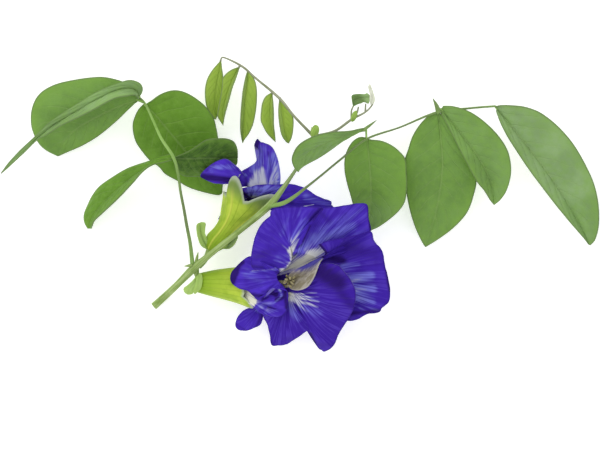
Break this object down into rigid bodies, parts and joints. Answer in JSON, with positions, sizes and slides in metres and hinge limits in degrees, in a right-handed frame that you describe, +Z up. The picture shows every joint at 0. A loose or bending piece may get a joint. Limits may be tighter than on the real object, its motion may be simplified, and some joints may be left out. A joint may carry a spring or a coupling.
{
  "type": "butterfly pea flower",
  "caption": "Cut climbing shoot of butterfly pea lying flat, with double violet-blue flowers, pinnate leaves and a growing tip.",
  "frame": {"origin": "the middle of the shoot's extent, on the surface that it lies on", "axes": "+X along the longest extent, from the old leaf at the left of the picture to the large leaf at its right; +Y to the top of the picture; +Z up from the surface, towards the viewer"},
  "size_m": [0.186, 0.0916, 0.037],
  "materials": {
    "stem_green": "fresh green stem, finely hairy, satin",
    "leaf_green": "soft leaf, dull satin",
    "young_leaf_green": "young leaf, dull satin",
    "calyx_green": "yellow-green calyx, satin",
    "petal_violet": "velvety violet-blue petal, matte",
    "keel_cream": "cream and olive keel, matte",
    "stamen_cream": "pale yellow anthers, matte"
  },
  "bodies": {
    "root": {"main_stem": "stem_green", "front_calyx": "calyx_green", "side_calyx": "calyx_green", "front_petal_low": "petal_violet", "front_petal_right": "petal_violet", "front_petal_top": "petal_violet", "front_petal_upper_left": "petal_violet", "front_petal_left": "petal_violet", "front_petal_small": "petal_violet", "front_petal_lowest": "petal_violet", "side_petal_tall": "petal_violet", "side_petal_long": "petal_violet", "side_petal_left": "petal_violet", "front_keel": "keel_cream", "front_stamens": "stamen_cream", "left_leaf": "leaf_green", "right_leaf": "leaf_green", "young_leaf": "young_leaf_green", "shoot_tip": "young_leaf_green"}
  },
  "joints": []
}
